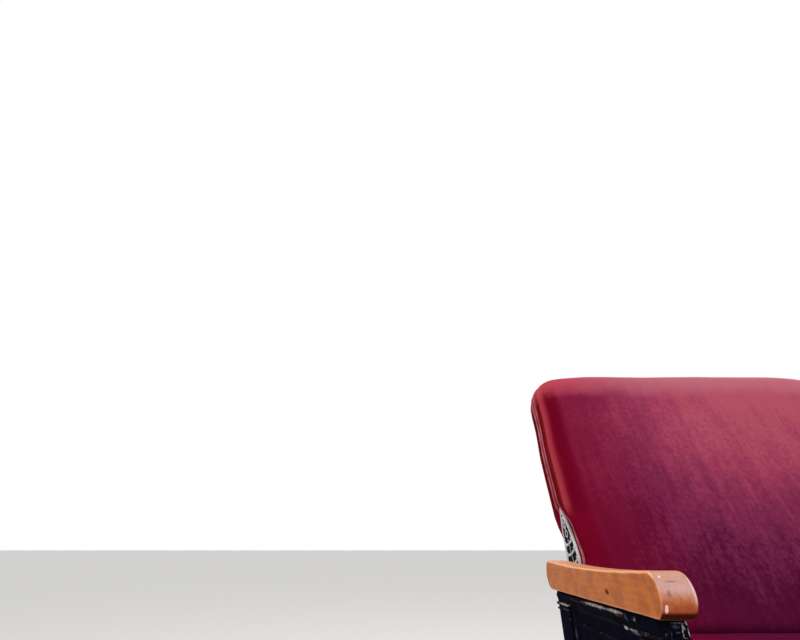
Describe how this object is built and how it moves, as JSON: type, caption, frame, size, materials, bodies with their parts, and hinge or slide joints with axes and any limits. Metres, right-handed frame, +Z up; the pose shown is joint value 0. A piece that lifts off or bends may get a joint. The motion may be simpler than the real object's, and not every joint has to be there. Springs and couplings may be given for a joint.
{
  "type": "reversible railway coach seat",
  "caption": "Plush seat for a railway coach on cast iron ends with wooden armrests; its back walks over on a linkage so that the sitter can face either way.",
  "frame": {"origin": "on the floor, at the centre of the four floor bolts", "axes": "+X along the seat from the aisle end to the wall end, +Y towards the back as stored, +Z up"},
  "size_m": [1.067, 0.7386, 1.0491],
  "materials": {
    "black_iron": "chipped black paint",
    "grey_iron": "worn grey iron",
    "pewter_iron": "pewter grey, dark in the sunk field",
    "bare_steel": "worn bare steel",
    "armrest_wood": "varnished, worn at the edges",
    "frame_wood": "dark stained",
    "plush": "wine red cut pile"
  },
  "bodies": {
    "base": {"end_frame_wall": "black_iron", "end_frame_aisle": "black_iron", "armrest_wall": "armrest_wood", "armrest_aisle": "armrest_wood", "front_rail": "black_iron", "rear_rail": "black_iron", "rail_ties": "black_iron", "cushion_tray": "frame_wood", "seat_cushion": "plush", "main_pivot_pin_wall": "bare_steel", "main_pivot_pin_aisle": "bare_steel"},
    "main_arms": {"main_arm_wall": "grey_iron", "main_arm_aisle": "grey_iron"},
    "guide_arms": {"guide_arm_wall": "grey_iron", "guide_arm_aisle": "grey_iron", "guide_shaft": "bare_steel"},
    "back": {"back_board": "frame_wood", "back_pad_front": "plush", "back_pad_rear": "plush", "side_iron_wall": "pewter_iron", "side_iron_aisle": "pewter_iron", "back_pivot_bolt_wall": "bare_steel", "back_pivot_bolt_aisle": "bare_steel", "guide_eye_pin_wall": "bare_steel", "guide_eye_pin_aisle": "bare_steel"}
  },
  "joints": [
    {"name": "walkover_swing", "type": "hinge", "parent": "base", "child": "main_arms", "pos_m": [0, 0, 0.165], "axis": [1, 0, 0], "range_deg": [0, 84]},
    {"name": "back_pivot", "type": "hinge", "parent": "main_arms", "child": "back", "pos_m": [0, 0.2563, 0.4496], "axis": [1, 0, 0], "range_deg": [-52.01, 0]},
    {"name": "guide_swing", "type": "hinge", "parent": "base", "child": "guide_arms", "pos_m": [0, 0, 0.13663], "axis": [1, 0, 0], "range_deg": [0, 88]}
  ],
  "couplings": [
    {"joint": "back_pivot", "follows": "walkover_swing", "ratio": -0.61909},
    {"joint": "guide_swing", "follows": "walkover_swing", "ratio": 1.0468}
  ]
}
